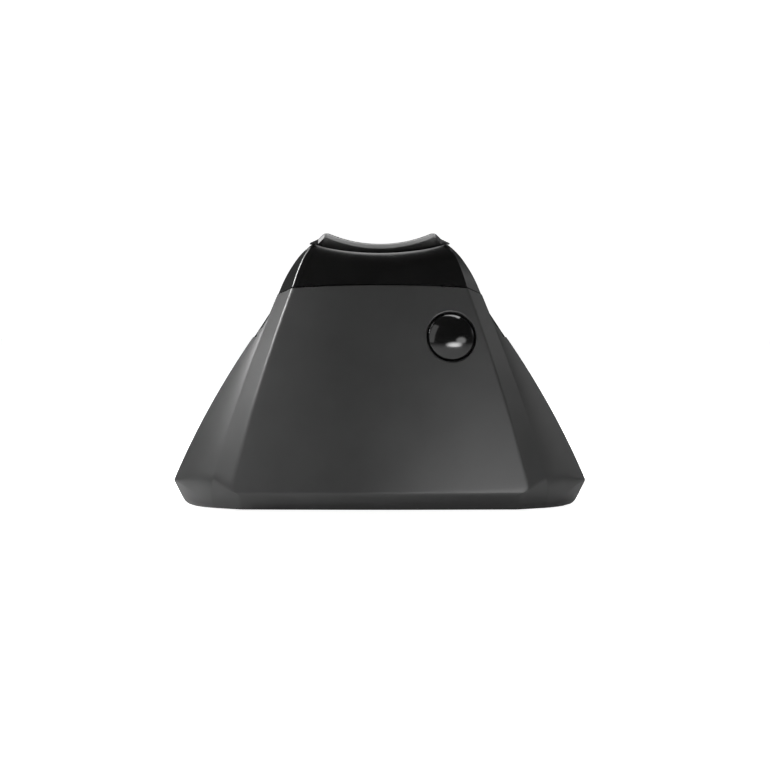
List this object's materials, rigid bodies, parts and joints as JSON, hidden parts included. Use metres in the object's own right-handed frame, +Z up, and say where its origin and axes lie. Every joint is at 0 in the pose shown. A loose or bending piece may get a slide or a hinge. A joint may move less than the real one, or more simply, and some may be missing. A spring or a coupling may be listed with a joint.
{
  "type": "roof bar foot",
  "caption": "Foot for a roof bar: a rubber saddle on top of a faceted removable cover, with a lock plug, a bar bolt and a screw clamp for a landing pad.",
  "frame": {"origin": "middle of the base, at the level the rubber strips stand on", "axes": "+X along the vehicle, +Y inboard along the bar, +Z up; the cover's front faces -Y"},
  "size_m": [0.18, 0.088, 0.1191],
  "materials": {
    "cover_plastic": "fine matte grain",
    "housing_plastic": "matte",
    "small_steel": "zinc plated",
    "plug_plastic": "high gloss",
    "seal_rubber": "smooth",
    "cap_plastic": "high gloss",
    "body_plastic": "fine matte grain",
    "strip_rubber": "smooth",
    "frame_steel": "pressed, zinc plated",
    "carrier_plastic": "matte",
    "pad_rubber": "satin",
    "bolt_steel": "zinc plated",
    "wheel_plastic": "matte",
    "washer_steel": "zinc plated",
    "jaw_steel": "pressed, zinc plated",
    "rod_steel": "ground",
    "spring_steel": "bright wire"
  },
  "bodies": {
    "foot": {"body": "body_plastic", "inner_frame": "frame_steel", "saddle_carrier": "carrier_plastic", "saddle_pad": "pad_rubber", "top_cap": "cap_plastic", "cap_screws": "small_steel", "frame_screws": "small_steel", "fixed_jaw": "jaw_steel", "jaw_screws": "small_steel", "clamp_nut": "bolt_steel", "guide_rods": "rod_steel", "wheel_washer": "washer_steel", "base_strips": "strip_rubber", "latch_grommets": "seal_rubber", "jaw_spring": "spring_steel"},
    "cover": {"cover": "cover_plastic", "lock_housing": "housing_plastic", "housing_screws": "small_steel"},
    "plug": {"lock_plug": "plug_plastic", "plug_ring": "seal_rubber"},
    "wheel": {"thumb_wheel": "wheel_plastic", "wheel_nut": "bolt_steel"},
    "bar_bolt": {"tee_bolt": "bolt_steel"},
    "jaw": {"moving_jaw": "jaw_steel", "clamp_washer": "washer_steel"},
    "bolt": {"clamp_bolt": "bolt_steel"}
  },
  "joints": [
    {"name": "cover_pull", "type": "slide", "parent": "foot", "child": "cover", "axis": [0, -1, 0], "range_m": [0, 0.045]},
    {"name": "plug_pull", "type": "slide", "parent": "cover", "child": "plug", "axis": [0.1464, -0.9635, 0.2242], "range_m": [0, 0.018]},
    {"name": "wheel_turn", "type": "hinge", "parent": "foot", "child": "wheel", "pos_m": [0, 0.011, 0.09], "axis": [0, 0, -1], "range_deg": [0, 2310]},
    {"name": "tee_lift", "type": "slide", "parent": "foot", "child": "bar_bolt", "axis": [0, 0, 1], "range_m": [0, 0.008]},
    {"name": "jaw_slide", "type": "slide", "parent": "foot", "child": "jaw", "axis": [0, -1, 0], "range_m": [0, 0.005]},
    {"name": "bolt_turn", "type": "hinge", "parent": "jaw", "child": "bolt", "pos_m": [0, -0.02, 0.03], "axis": [0, -1, 0], "range_deg": [0, 1446]}
  ],
  "couplings": [
    {"joint": "wheel_turn", "follows": "tee_lift", "rad_per_m": 5026.5},
    {"joint": "bolt_turn", "follows": "jaw_slide", "rad_per_m": 5026.5}
  ]
}
